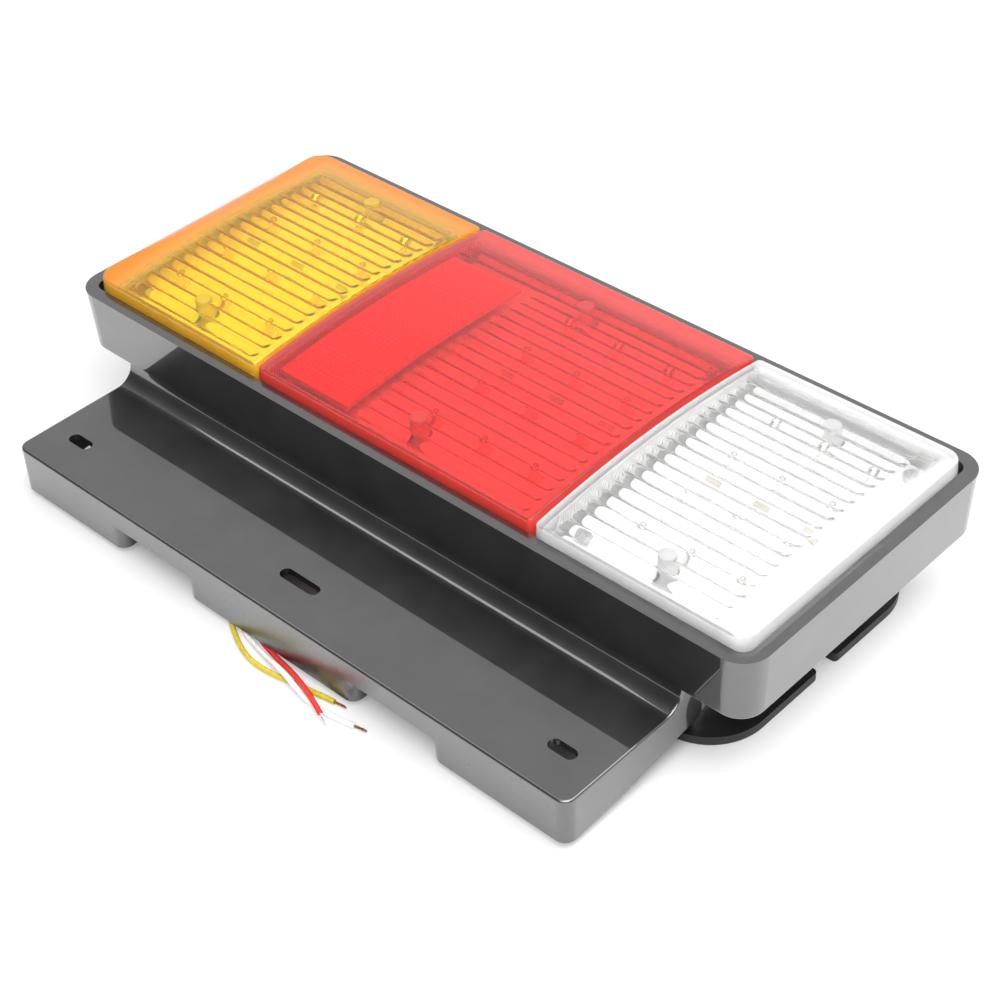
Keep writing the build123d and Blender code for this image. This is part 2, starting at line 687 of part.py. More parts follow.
nodes = {
    "housing": make_housing(),
    "rear_cover": make_rear_cover(),
    "cover_screws": make_cover_screws(),
    "lens_seal": make_seal(),
    "amber_lens": make_lens("amber"),
    "red_lens": make_lens("red"),
    "clear_lens": make_lens("clear"),
    "reflex_reflector": make_reflex_reflector(),
    "lens_screws": make_lens_screws(),
    "amber_board": make_board("amber"),
    "red_board": make_board("red"),
    "clear_board": make_board("clear"),
    "board_screws": make_board_screws(),
    "amber_leds": make_leds("amber"),
    "red_leds": make_leds("red"),
    "clear_leds": make_leds("clear"),
    "resistors": make_resistors(),
    "cable_grommet": make_grommet(),
}
for colour, points in (("yellow", YELLOW_POINTS), ("white", WHITE_POINTS), ("red", RED_POINTS)):
    nodes[colour + "_wire"], nodes[colour + "_strands"] = make_wire(colour + "_wire", points)

os.makedirs("parts", exist_ok=True)
for name, shape in nodes.items():
    export_step(shape, "parts/" + name + ".step")
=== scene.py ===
import math

import bmesh
import bpy
from mathutils import Matrix, Vector


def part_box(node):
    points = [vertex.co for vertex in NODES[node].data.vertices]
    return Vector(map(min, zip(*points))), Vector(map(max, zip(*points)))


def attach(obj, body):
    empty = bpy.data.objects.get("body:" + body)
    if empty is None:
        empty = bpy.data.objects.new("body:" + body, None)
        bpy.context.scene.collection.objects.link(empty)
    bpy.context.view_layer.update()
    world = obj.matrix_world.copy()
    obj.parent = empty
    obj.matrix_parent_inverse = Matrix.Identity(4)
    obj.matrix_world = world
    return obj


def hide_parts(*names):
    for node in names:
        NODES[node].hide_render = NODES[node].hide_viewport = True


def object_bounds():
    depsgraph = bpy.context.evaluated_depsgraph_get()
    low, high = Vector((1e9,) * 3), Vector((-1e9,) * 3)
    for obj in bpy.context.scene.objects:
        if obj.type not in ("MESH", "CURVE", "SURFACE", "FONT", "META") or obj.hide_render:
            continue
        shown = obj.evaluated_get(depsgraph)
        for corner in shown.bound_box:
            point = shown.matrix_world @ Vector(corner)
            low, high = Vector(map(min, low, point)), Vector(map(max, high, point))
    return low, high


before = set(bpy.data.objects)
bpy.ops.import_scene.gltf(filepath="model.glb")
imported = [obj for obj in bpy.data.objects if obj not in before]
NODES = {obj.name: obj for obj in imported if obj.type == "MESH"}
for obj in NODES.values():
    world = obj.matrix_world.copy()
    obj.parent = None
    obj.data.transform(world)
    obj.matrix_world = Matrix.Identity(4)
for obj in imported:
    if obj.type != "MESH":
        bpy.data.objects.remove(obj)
CAD_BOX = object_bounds()
MM = 0.001

# Camera: where it stands, in millimetres, and its axes, fitted to the photograph
CAMERA_PLACE = (476.144, -454.960, 554.694)
CAMERA_RIGHT = (0.731776, 0.680467, -0.038307)
CAMERA_UP = (-0.412986, 0.487436, 0.769317)
CAMERA_BACK = (0.542167, -0.547148, 0.637718)
CAMERA_LENS = 76.077
SENSOR_WIDTH = 36.0

# Wires: the points of each route, from the grommet to the cut end, in millimetres
WIRE_DIAMETER = 2.2
WIRES = {
    "yellow": [
        (-37.6, -35.0, 12.0),
        (-37.6, -55.0, 12.0),
        (-40.0, -80.0, 1.6),
        (-30.0, -98.0, 1.2),
        (-9.3, -109.6, 1.2),
        (5.2, -111.6, 1.2),
        (24.0, -107.6, 1.2),
        (38.5, -105.4, 1.2),
    ],
    "white": [
        (-35.0, -35.0, 12.0),
        (-35.0, -56.0, 12.0),
        (-30.0, -82.0, 1.6),
        (-20.5, -101.2, 1.2),
        (0.0, -105.8, 1.3),
        (11.0, -108.2, 4.0),
        (20.0, -110.2, 4.0),
        (31.0, -111.9, 1.3),
        (43.0, -111.4, 1.2),
        (53.0, -109.2, 1.2),
    ],
    "red": [
        (-32.4, -35.0, 12.0),
        (-32.4, -57.0, 12.0),
        (-23.0, -83.0, 1.6),
        (-12.0, -99.8, 1.2),
        (5.0, -103.8, 1.4),
        (15.0, -106.4, 4.1),
        (25.0, -108.9, 4.5),
        (33.0, -111.4, 4.1),
        (40.0, -113.9, 2.7),
    ],
}

# Bare strands: their length, radius, place round the middle strand, twist in radians and start in the sheath
STRAND_LENGTH = 6.0
STRAND_RADIUS = 0.17
STRAND_LAY = 0.36
STRAND_RING = 6
STRAND_TWIST = 1.8
STRAND_SEAT = 0.3
STRAND_STEPS = 8
STRAND_SIDES = 6

# Lenses: the same sizes as the solids, in millimetres
LENS_WALL = 2.6
CROWN_DROP = 4.8
LENS_DRAFT = math.radians(4.0)
LENS_CORNER = 8.0
JOINT_CORNER = 2.8
INNER_CORNER = 0.2
LENS_EDGE = 1.0
END_REACH = 14.0
END_DROP = 4.3
FLUTE_COUNT = 20
FLUTE_MARGIN = 4.6
FLUTE_END = 5.5
FLUTE_DEPTH = 1.0
BOSS_RADIUS = 3.5
BOSS_BORE = 1.6
BOSS_BORE_DEPTH = 8.0
BOSS_EDGE = 0.3

# Lens meshes: steps over a flute and a rounded edge, and rows and columns near the sides, in millimetres
FLUTE_STEPS = 10
FLUTE_END_STEPS = 6
EDGE_STEPS = 4
EDGE_ROWS = (0.0, 0.12, 0.35, 0.7, 1.2, 1.9, 2.8, 3.7)
EDGE_COLUMNS = (0.0, 0.5, 1.2, 2.2, 3.5, 4.8)
PLAIN_COLUMNS = 12
LEAST_COLUMN = 0.15
BOSS_SIDES = 32

# Ribs inside the lens walls, in millimetres, with the gap between two as a share of their pitch
RIB_PITCH = 1.2
RIB_DEPTH = 0.35
RIB_GAP = 0.2
RIB_CLEARANCE = 0.1
RIB_TOP_CLEARANCE = 0.2

# Diodes, in millimetres
LED_FLANGE_RADIUS = 2.5
LED_FLANGE = 1.0
LED_STEP = 0.1
LED_RADIUS = 2.35
LED_DOME_STEPS = 6
LED_SIDES = 24

# Looks: the lenses' refraction, the slope of a steep face, the satin skirt and the white chambers
LENS_IOR = 1.25
STEEP_SLOPE = 0.4
SKIRT_DEPTH = 1.5
CHAMBER_EDGE = 4.2
CHAMBER_DEPTH = 24.0
CHAMBER_WHITE = (0.88, 0.88, 0.87)

# Surround: its brightness in front of the lamp, beside it and behind it
FRONT_SKY = (0.12, 0.12, 0.12)
MIDDLE_SKY = (0.5, 0.5, 0.5)
BACK_SKY = (0.9, 0.9, 0.9)
WHITE = (1.0, 1.0, 1.0)

# Floor: how far it reaches, and where its white starts and is full, inside the lamp's box and far from it
FLOOR_REACH = 6.0
NEAR_WHITE = (0.035, 0.005)
FAR_WHITE = (0.4, 1.2)


# Node helpers


def new_material(name):
    """A node material with its shader and output, ready for inputs."""
    material = bpy.data.materials.new(name)
    material.use_nodes = True
    tree = material.node_tree
    return material, tree, tree.nodes["Principled BSDF"]


def add(tree, kind, **settings):
    """One node of a kind, with its settings."""
    node = tree.nodes.new(kind)
    for key, value in settings.items():
        setattr(node, key, value)
    return node


def object_point(tree):
    """The place on the piece, in metres."""
    return add(tree, "ShaderNodeTexCoord").outputs["Object"]


def axes_of(tree, vector):
    """A vector's X, Y and Z."""
    node = add(tree, "ShaderNodeSeparateXYZ")
    tree.links.new(vector, node.inputs["Vector"])
    return node.outputs


def calculate(tree, operation, *values):
    """The result of one operation on sockets and numbers."""
    node = add(tree, "ShaderNodeMath", operation=operation)
    for socket, value in zip(node.inputs, values):
        if isinstance(value, float):
            socket.default_value = value
        else:
            tree.links.new(value, socket)
    return node.outputs["Value"]


def blend(tree, factor, first, second):
    """Two colours mixed by a factor, each a socket or plain numbers."""
    node = add(tree, "ShaderNodeMix", data_type="RGBA")
    tree.links.new(factor, node.inputs["Factor"])
    for name, colour in (("A", first), ("B", second)):
        if isinstance(colour, tuple):
            node.inputs[name].default_value = (*colour, 1.0)
        else:
            tree.links.new(colour, node.inputs[name])
    return node.outputs["Result"]


def noise(tree, scale, detail=4.0, rough=0.5, stretch=None):
    """A noise pattern, as its value from 0 to 1."""
    node = add(tree, "ShaderNodeTexNoise")
    node.inputs["Scale"].default_value = scale
    node.inputs["Detail"].default_value = detail
    node.inputs["Roughness"].default_value = rough
    point = object_point(tree)
    if stretch:
        mapping = add(tree, "ShaderNodeMapping")
        mapping.inputs["Scale"].default_value = stretch
        tree.links.new(point, mapping.inputs["Vector"])
        point = mapping.outputs["Vector"]
    tree.links.new(point, node.inputs["Vector"])
    return node.outputs["Fac"]


def ramp(tree, value, stops):
    """Colours along a value: pairs of place and colour."""
    node = add(tree, "ShaderNodeValToRGB")
    elements = node.color_ramp.elements
    while len(elements) < len(stops):
        elements.new(0.5)
    for element, (place, colour) in zip(elements, stops):
        element.position = place
        element.color = (*colour, 1.0)
    tree.links.new(value, node.inputs["Fac"])
    return node.outputs["Color"]


def spread(tree, value, low, high):
    """A value from 0 to 1, spread from low to high."""
    node = add(tree, "ShaderNodeMapRange")
    node.inputs["To Min"].default_value = low
    node.inputs["To Max"].default_value = high
    tree.links.new(value, node.inputs["Value"])
    return node.outputs["Result"]


def rise(tree, value, start, full):
    """Nothing at start, rising smoothly to one at full."""
    node = add(tree, "ShaderNodeMapRange", interpolation_type="SMOOTHSTEP")
    node.inputs["From Min"].default_value = start
    node.inputs["From Max"].default_value = full
    tree.links.new(value, node.inputs["Value"])
    return node.outputs["Result"]


def past_edges(tree, edges):
    """Nothing in the middle, rising to one past any edge: triples of axis, start and full place."""
    place = axes_of(tree, object_point(tree))
    first, *others = [rise(tree, place[axis], start, full) for axis, start, full in edges]
    for other in others:
        first = calculate(tree, "MAXIMUM", first, other)
    return first


def bump(tree, shader, value, strength, distance):
    """Fine relief from a value."""
    node = add(tree, "ShaderNodeBump")
    node.inputs["Strength"].default_value = strength
    node.inputs["Distance"].default_value = distance
    tree.links.new(value, node.inputs["Height"])
    tree.links.new(node.outputs["Normal"], shader.inputs["Normal"])


# Materials


def moulded_plastic(name, dark, pale, gloss, roughest, ior, coat=0.0, coat_ior=1.5, coat_roughness=0.03):
    """Moulded plastic: a slightly clouded colour, faint orange peel and handling marks."""
    material, tree, shader = new_material(name)
    cloud = noise(tree, 60.0, 2.0)
    tree.links.new(ramp(tree, cloud, [(0.35, dark), (0.7, pale)]), shader.inputs["Base Color"])
    marks = noise(tree, 90.0, 2.0, 0.5, (1.0, 0.4, 1.0))
    tree.links.new(spread(tree, marks, gloss, roughest), shader.inputs["Roughness"])
    shader.inputs["IOR"].default_value = ior
    shader.inputs["Coat Weight"].default_value = coat
    shader.inputs["Coat IOR"].default_value = coat_ior
    shader.inputs["Coat Roughness"].default_value = coat_roughness
    bump(tree, shader, noise(tree, 160.0, 1.0), 0.03, 0.00005)
    return material


def dull_skirt(material):
    """A satin material on the faces of the housing's front skirt."""
    mesh = NODES["housing"].data
    mesh.materials.append(material)
    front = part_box("housing")[0][1]
    for polygon in mesh.polygons:
        if polygon.center.y < front + SKIRT_DEPTH * MM:
            polygon.material_index = 1


def coat_chambers(material):
    """White inside the chambers, which the clear lens shows, on the housing's own plastic."""
    tree = material.node_tree
    shader = tree.nodes["Principled BSDF"]
    plastic = shader.inputs["Base Color"].links[0].from_socket
    low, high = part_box("lens_seal")
    limits = (
        ("X", 0.0, high[0] - CHAMBER_EDGE * MM),
        ("Y", (low[1] + high[1]) / 2, (high[1] - low[1]) / 2 - CHAMBER_EDGE * MM),
        ("Z", low[2] - CHAMBER_DEPTH / 2 * MM, CHAMBER_DEPTH / 2 * MM),
    )
    place = axes_of(tree, object_point(tree))
    inside, *others = [calculate(tree, "COMPARE", place[axis], *limit) for axis, *limit in limits]
    for other in others:
        inside = calculate(tree, "MULTIPLY", inside, other)
    tree.links.new(blend(tree, inside, plastic, CHAMBER_WHITE), shader.inputs["Base Color"])


def steep_faces(tree):
    """One on upright faces and nothing on flat ones."""
    facing = axes_of(tree, add(tree, "ShaderNodeNewGeometry").outputs["Normal"])
    return calculate(tree, "LESS_THAN", calculate(tree, "ABSOLUTE", facing["Z"]), STEEP_SLOPE)


def wall_lines(tree, colour):
    """A colour with fine upright lines, at the ribs' pitch along X and along Y: painted shade of the ribs,
    on the walls' painted lighter tint.
    """
    place = axes_of(tree, object_point(tree))
    along = calculate(tree, "ADD", place["X"], place["Y"])
    wave = calculate(tree, "SINE", calculate(tree, "MULTIPLY", along, 2 * math.pi / (RIB_PITCH * MM)))
    shade = spread(tree, wave, 0.5, 1.0)
    return ramp(tree, shade, [(0.0, tuple(0.75 * c for c in colour)), (0.6, colour)])


def lens_plastic(colour, thin, body, dull, wall, deep, density, bands):
    """Clear coloured plastic, tinted by how much of it the light crosses, and dull in its walls and bands:
    the bands' darker tint is painted shade and the walls' brighter tint is painted light.

    The bands are the dull widths at the left, right, front and back, each with the width of its soft edge;
    their darker tint is painted shade, where the lens looks onto the dim tray sides rather than the lit
    board.
    """
    material, tree, shader = new_material(colour + "_plastic")
    low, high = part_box(colour + "_lens")
    left, right, front, back = [(width * MM, soft * MM) for width, soft in bands]
    # Painted shade: the edge bands are frosted and also get the darker dull tint, standing in for the dim
    # tray sides seen through the lens.
    frosted_and_shaded_bands = past_edges(
        tree,
        [
            ("X", low[0] + left[0] + left[1], low[0] + left[0]),
            ("X", high[0] - right[0] - right[1], high[0] - right[0]),
            ("Y", low[1] + front[0] + front[1], low[1] + front[0]),
            ("Y", high[1] - back[0] - back[1], high[1] - back[0]),
        ],
    )
    # Painted light: steep faces get the brighter wall tint, making up for the less light that falls on them.
    steep = steep_faces(tree)
    walls = calculate(tree, "MAXIMUM", frosted_and_shaded_bands, steep)
    flow = noise(tree, 90.0, 3.0, 0.5, (0.3, 1.0, 1.0))
    face = ramp(tree, flow, [(0.3, thin), (0.7, body)])
    # Painted light on steep faces (brighter wall tint with painted rib shade lines), painted shade in the
    # bands (dull tint).
    side = blend(tree, steep, dull, wall_lines(tree, wall))
    tree.links.new(blend(tree, walls, face, side), shader.inputs["Base Color"])
    tree.links.new(spread(tree, walls, 0.03, 0.2), shader.inputs["Roughness"])
    tree.links.new(spread(tree, walls, 0.94, 0.45), shader.inputs["Transmission Weight"])
    shader.inputs["IOR"].default_value = LENS_IOR
    shader.inputs["Coat Weight"].default_value = 0.6
    shader.inputs["Coat Roughness"].default_value = 0.03
    absorb = add(tree, "ShaderNodeVolumeAbsorption")
    absorb.inputs["Color"].default_value = (*deep, 1.0)
    absorb.inputs["Density"].default_value = density
    tree.links.new(absorb.outputs["Volume"], tree.nodes["Material Output"].inputs["Volume"])
    return material


def dull_plastic(name, dark, pale, clearness=0.15):
    """The same plastic where it is thick or ribbed and looks frosted, given a paler tint as painted light,
    so that its less lit sides don't read dark.
    """
    material, tree, shader = new_material(name)
    flow = noise(tree, 300.0, 3.0)
    tree.links.new(ramp(tree, flow, [(0.3, dark), (0.7, pale)]), shader.inputs["Base Color"])
    tree.links.new(spread(tree, flow, 0.25, 0.4), shader.inputs["Roughness"])
    shader.inputs["Transmission Weight"].default_value = clearness
    shader.inputs["IOR"].default_value = LENS_IOR
    return material


def prismatic_plastic(name, dark, pale):
    """The reflex plate: a close field of small prismatic cells."""
    material, tree, shader = new_material(name)
    cells = add(tree, "ShaderNodeTexVoronoi")
    cells.inputs["Scale"].default_value = 420.0
    cells.inputs["Randomness"].default_value = 0.15
    tree.links.new(object_point(tree), cells.inputs["Vector"])
    tint = ramp(tree, cells.outputs["Distance"], [(0.1, pale), (0.7, dark)])
    tree.links.new(tint, shader.inputs["Base Color"])
    tree.links.new(spread(tree, cells.outputs["Distance"], 0.15, 0.35), shader.inputs["Roughness"])
    bump(tree, shader, cells.outputs["Distance"], 0.4, 0.0005)
    return material


def board_mask(name):
    """White solder mask with faint tracks below it."""
    material, tree, shader = new_material(name)
    tracks = add(tree, "ShaderNodeTexBrick", offset=0.35)
    tracks.inputs["Scale"].default_value = 60.0
    tracks.inputs["Color1"].default_value = (0.90, 0.90, 0.88, 1.0)
    tracks.inputs["Color2"].default_value = (0.94, 0.94, 0.93, 1.0)
    tracks.inputs["Mortar"].default_value = (0.84, 0.85, 0.83, 1.0)
    tracks.inputs["Mortar Size"].default_value = 0.03
    tree.links.new(object_point(tree), tracks.inputs["Vector"])
    tree.links.new(tracks.outputs["Color"], shader.inputs["Base Color"])
    tree.links.new(spread(tree, noise(tree, 300.0), 0.35, 0.55), shader.inputs["Roughness"])
    bump(tree, shader, tracks.outputs["Fac"], 0.15, 0.0002)
    return material


def led_plastic(name, dark, pale):
    """The tinted resin of a diode, bright as the cup inside it."""
    material, tree, shader = new_material(name)
    cloud = noise(tree, 500.0, 2.0)
    tree.links.new(ramp(tree, cloud, [(0.3, dark), (0.7, pale)]), shader.inputs["Base Color"])
    tree.links.new(spread(tree, cloud, 0.03, 0.08), shader.inputs["Roughness"])
    shader.inputs["Metallic"].default_value = 0.9
    shader.inputs["Coat Weight"].default_value = 1.0
    return material


def wire_sheath(name, dark, pale):
    """Soft wire covering: a clouded colour, fine grain and a satin gloss."""
    material, tree, shader = new_material(name)
    cloud = noise(tree, 700.0, 4.0, 0.6)
    tree.links.new(ramp(tree, cloud, [(0.3, dark), (0.7, pale)]), shader.inputs["Base Color"])
    tree.links.new(spread(tree, cloud, 0.28, 0.45), shader.inputs["Roughness"])
    bump(tree, shader, noise(tree, 2500.0, 2.0), 0.1, 0.0001)
    return material


def bare_metal(name, dark, pale, roughest):
    """Bare metal with fine marks."""
    material, tree, shader = new_material(name)
    cloud = noise(tree, 1800.0, 4.0, 0.6)
    tree.links.new(ramp(tree, cloud, [(0.3, dark), (0.7, pale)]), shader.inputs["Base Color"])
    tree.links.new(spread(tree, cloud, 0.18, roughest), shader.inputs["Roughness"])
    shader.inputs["Metallic"].default_value = 1.0
    bump(tree, shader, cloud, 0.1, 0.0001)
    return material


# Mesh helpers


def piece_from(name, mesh, material, smooth=True):
    """A mesh as a piece that rides on the lamp, with its material."""
    piece = bpy.data.objects.new(name, mesh)
    bpy.context.collection.objects.link(piece)
    mesh.materials.append(material)
    for polygon in mesh.polygons:
        polygon.use_smooth = smooth
    if smooth:
        mesh.set_sharp_from_angle(angle=math.radians(40))
    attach(piece, "root")
    return piece


def mesh_from(name, build):
    """A mesh made by a function that fills a bmesh in millimetres."""
    bm = bmesh.new()
    build(bm)
    bmesh.ops.remove_doubles(bm, verts=bm.verts, dist=0.0005)
    bmesh.ops.recalc_face_normals(bm, faces=bm.faces)
    bmesh.ops.scale(bm, verts=bm.verts, vec=(MM, MM, MM))
    mesh = bpy.data.meshes.new(name)
    bm.to_mesh(mesh)
    bm.free()
    return mesh


def band(bm, first, second):
    """Faces between two loops with as many corners."""
    count = len(first)
    for k in range(count):
        bm.faces.new((first[k], first[(k + 1) % count], second[(k + 1) % count], second[k]))


def lathe(bm, profile, x, y, sides):
    """A turned closed form about an upright axis: pairs of radius and height."""
    rings = []
    for radius, z in profile:
        if radius == 0:
            rings.append([bm.verts.new((x, y, z))])
            continue
        ring = []
        for k in range(sides):
            angle = 2 * math.pi * k / sides
            ring.append(bm.verts.new((x + radius * math.cos(angle), y + radius * math.sin(angle), z)))
        rings.append(ring)
    for low, high in zip(rings, rings[1:]):
        for k in range(sides):
            corners = [low[k % len(low)], low[(k + 1) % len(low)]]
            corners += [high[(k + 1) % len(high)], high[k % len(high)]]
            bm.faces.new(list(dict.fromkeys(corners)))


def millimetres(node):
    """A node's lowest and highest corner in millimetres."""
    low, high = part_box(node)
    return Vector(low) / MM, Vector(high) / MM


def centres(node):
    """The middle of each separate solid in a node, in millimetres, with its lowest and highest level."""
    bm = bmesh.new()
    bm.from_mesh(NODES[node].data)
    bmesh.ops.remove_doubles(bm, verts=bm.verts, dist=0.00001)
    seen = set()
    found = []
    for start in bm.verts:
        if start in seen:
            continue
        island = [start]
        seen.add(start)
        for vert in island:
            for edge in vert.link_edges:
                other = edge.other_vert(vert)
                if other not in seen:
                    seen.add(other)
                    island.append(other)
        points = [v.co / MM for v in island]
        low = Vector([min(p[i] for p in points) for i in range(3)])
        high = Vector([max(p[i] for p in points) for i in range(3)])
        found.append(((low + high) / 2, low.z, high.z))
    bm.free()
    return found


# Camera


def make_camera():
    """The camera at the photograph's place."""
    data = bpy.data.cameras.new("photo_camera")
    data.lens = CAMERA_LENS
    data.sensor_width = SENSOR_WIDTH
    data.sensor_fit = "HORIZONTAL"
    data.clip_start = 0.01
    data.clip_end = 50.0
    camera = bpy.data.objects.new("photo_camera", data)
    bpy.context.collection.objects.link(camera)
    turn = Matrix((CAMERA_RIGHT, CAMERA_UP, CAMERA_BACK)).transposed().to_4x4()
    camera.matrix_world = Matrix.Translation(Vector(CAMERA_PLACE) * MM) @ turn
    bpy.context.scene.camera = camera


# Wires


def make_wire(colour, sheath, strand_metal):
    """One free wire along its route, with bare twisted strands at the cut end."""
    points = [Vector(p) * MM for p in WIRES[colour]]
    curve = bpy.data.curves.new(colour + "_wire_line", "CURVE")
    curve.dimensions = "3D"
    spline = curve.splines.new("NURBS")
    spline.points.add(len(points) - 1)
    for target, point in zip(spline.points, points):
        target.co = (*point, 1.0)
    spline.order_u = 3
    spline.use_endpoint_u = True
    spline.resolution_u = 12
    curve.bevel_depth = WIRE_DIAMETER / 2 * MM
    curve.bevel_resolution = 5
    curve.use_fill_caps = True
    curve.materials.append(sheath)
    wire = bpy.data.objects.new(colour + "_lead", curve)
    bpy.context.collection.objects.link(wire)
    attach(wire, "root")
    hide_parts(colour + "_wire")
    strands = make_strands(colour, points[-2], points[-1], strand_metal)


def make_strands(colour, before, end, metal):
    """A twist of fine strands that frays a little towards its tip."""
    along = (end - before).normalized()
    side = along.cross(Vector((0, 0, 1))).normalized()
    over = side.cross(along)
    lays = [(0.0, 0.0)] + [(STRAND_LAY, 2 * math.pi * k / STRAND_RING) for k in range(STRAND_RING)]
    round_angles = [2 * math.pi * k / STRAND_SIDES for k in range(STRAND_SIDES)]

    def build(bm):
        for index, (reach, turn) in enumerate(lays):
            length = STRAND_LENGTH * (0.82 + 0.18 * math.cos(2.4 * index))
            rings = []
            for step in range(STRAND_STEPS + 1):
                share = step / STRAND_STEPS
                angle = turn + STRAND_TWIST * share
                fray = reach * (1.0 + 0.5 * share * share * (1 + math.cos(1.7 * index)) / 2)
                offset = side * (fray * math.cos(angle)) + over * (fray * math.sin(angle))
                middle = end / MM + along * (length * share - STRAND_SEAT) + offset
                spokes = [side * math.cos(a) + over * math.sin(a) for a in round_angles]
                rings.append([bm.verts.new(middle + spoke * STRAND_RADIUS) for spoke in spokes])
            for low, high in zip(rings, rings[1:]):
                band(bm, low, high)
            bm.faces.new(rings[0])
            bm.faces.new(rings[-1])

    piece = piece_from(colour + "_bare_end", mesh_from(colour + "_bare_end", build), metal)
    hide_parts(colour + "_strands")
    return piece


# Lenses


class Lens:
    """One colour's lens: its plan, its crown and its flutes, in millimetres."""

    def __init__(self, colour):
        low, high = millimetres(colour + "_lens")
        self.colour = colour
        self.x0 = low.x
        self.x1 = high.x
        self.y0 = low.y
        self.y1 = high.y
        self.middle = (low.y + high.y) / 2
        self.half = (high.y - low.y) / 2
        self.top = high.z
        self.bottom = millimetres("lens_seal")[1].z
        self.radius = (self.half**2 + CROWN_DROP**2) / (2 * CROWN_DROP)
        self.left_corner = LENS_CORNER if colour == "amber" else JOINT_CORNER
        self.right_corner = LENS_CORNER if colour == "clear" else JOINT_CORNER
        self.pitch = 2 * (self.half - FLUTE_MARGIN) / FLUTE_COUNT
        self.end_radius = (END_REACH**2 + END_DROP**2) / (2 * END_DROP)
        self.start_gap = END_REACH if colour == "amber" else FLUTE_END
        self.end_gap = END_REACH if colour == "clear" else FLUTE_END

    def crown(self, x, y, depth=0.0):
        """Level of a face at a place, lowered by depth: crowned across and rolled at the lamp's ends."""
        across = self.radius - depth
        level = self.top - self.radius + math.sqrt(across**2 - (y - self.middle) ** 2)
        past = 0.0
        if self.colour == "amber":
            past = self.x0 + END_REACH - x
        if self.colour == "clear":
            past = x - (self.x1 - END_REACH)
        if past > 0.0:
            roll = self.end_radius - depth
            level = min(level, self.top - self.end_radius + math.sqrt(roll**2 - past**2))
        return level

    def row_ends(self, y, inset):
        """Where a row across the lens starts and ends, with its corners rounded."""
        ends = []
        for x, corner, sign in ((self.x0, self.left_corner, 1), (self.x1, self.right_corner, -1)):
            radius = max(corner - inset, INNER_CORNER)
            edge = min(y - (self.y0 + inset), (self.y1 - inset) - y)
            cut = 0.0
            if edge < radius:
                cut = radius - math.sqrt(max(radius**2 - (radius - edge) ** 2, 0.0))
            ends.append(x + sign * (inset + cut))
        return ends

    def flute_start(self, y):
        """Where the flutes start along X at y."""
        if self.colour == "red":
            plate_end = millimetres("reflex_reflector")[1]
            if y < plate_end.y + self.pitch / 2:
                return plate_end.x + FLUTE_END
        return self.x0 + self.start_gap

    def flute(self, x, y):
        """How far the inner face bulges down at a place: round bars with round ends."""
        across = (y - (self.y0 + FLUTE_MARGIN)) / self.pitch
        if across <= 0 or across >= FLUTE_COUNT:
            return 0.0
        centre = self.y0 + FLUTE_MARGIN + (math.floor(across) + 0.5) * self.pitch
        start = self.flute_start(centre)
        end = self.x1 - self.end_gap
        if x <= start or x >= end:
            return 0.0
        half = self.pitch / 2
        lack = max(half - (x - start), half - (end - x), 0.0)
        reach = math.hypot(lack, y - centre) / half
        return FLUTE_DEPTH * max(1.0 - reach**2, 0.0)


def lens_rows(lens):
    """Row places across the lens: close together over the flutes, to the very edge."""
    steps = FLUTE_COUNT * FLUTE_STEPS
    start = lens.y0 + FLUTE_MARGIN
    inside = [start + lens.pitch * k / FLUTE_STEPS for k in range(steps + 1)]
    front = [lens.y0 + row for row in EDGE_ROWS]
    back = [lens.y1 - row for row in reversed(EDGE_ROWS)]
    return [(y - lens.middle) / lens.half for y in front + inside + back]


def lens_columns(lens):
    """Column places along the lens, as shares of a row: close together where the flutes end."""
    length = lens.x1 - lens.x0
    places = set(EDGE_COLUMNS) | {length - column for column in EDGE_COLUMNS}
    ends = [lens.start_gap, length - lens.end_gap - lens.pitch / 2]
    if lens.colour == "red":
        ends.append(lens.flute_start(lens.y0) - lens.x0)
    for start in ends:
        places |= {start + lens.pitch / 2 * k / FLUTE_END_STEPS for k in range(FLUTE_END_STEPS + 1)}
    places |= {length * k / PLAIN_COLUMNS for k in range(1, PLAIN_COLUMNS)}
    roll = [END_REACH * k / 10 for k in range(4, 11)]
    if lens.colour == "amber":
        places |= set(roll)
    if lens.colour == "clear":
        places |= {length - reach for reach in roll}
    ordered = [0.0]
    for place in sorted(places):
        if place - ordered[-1] > LEAST_COLUMN:
            ordered.append(place)
    return [place / length for place in ordered]


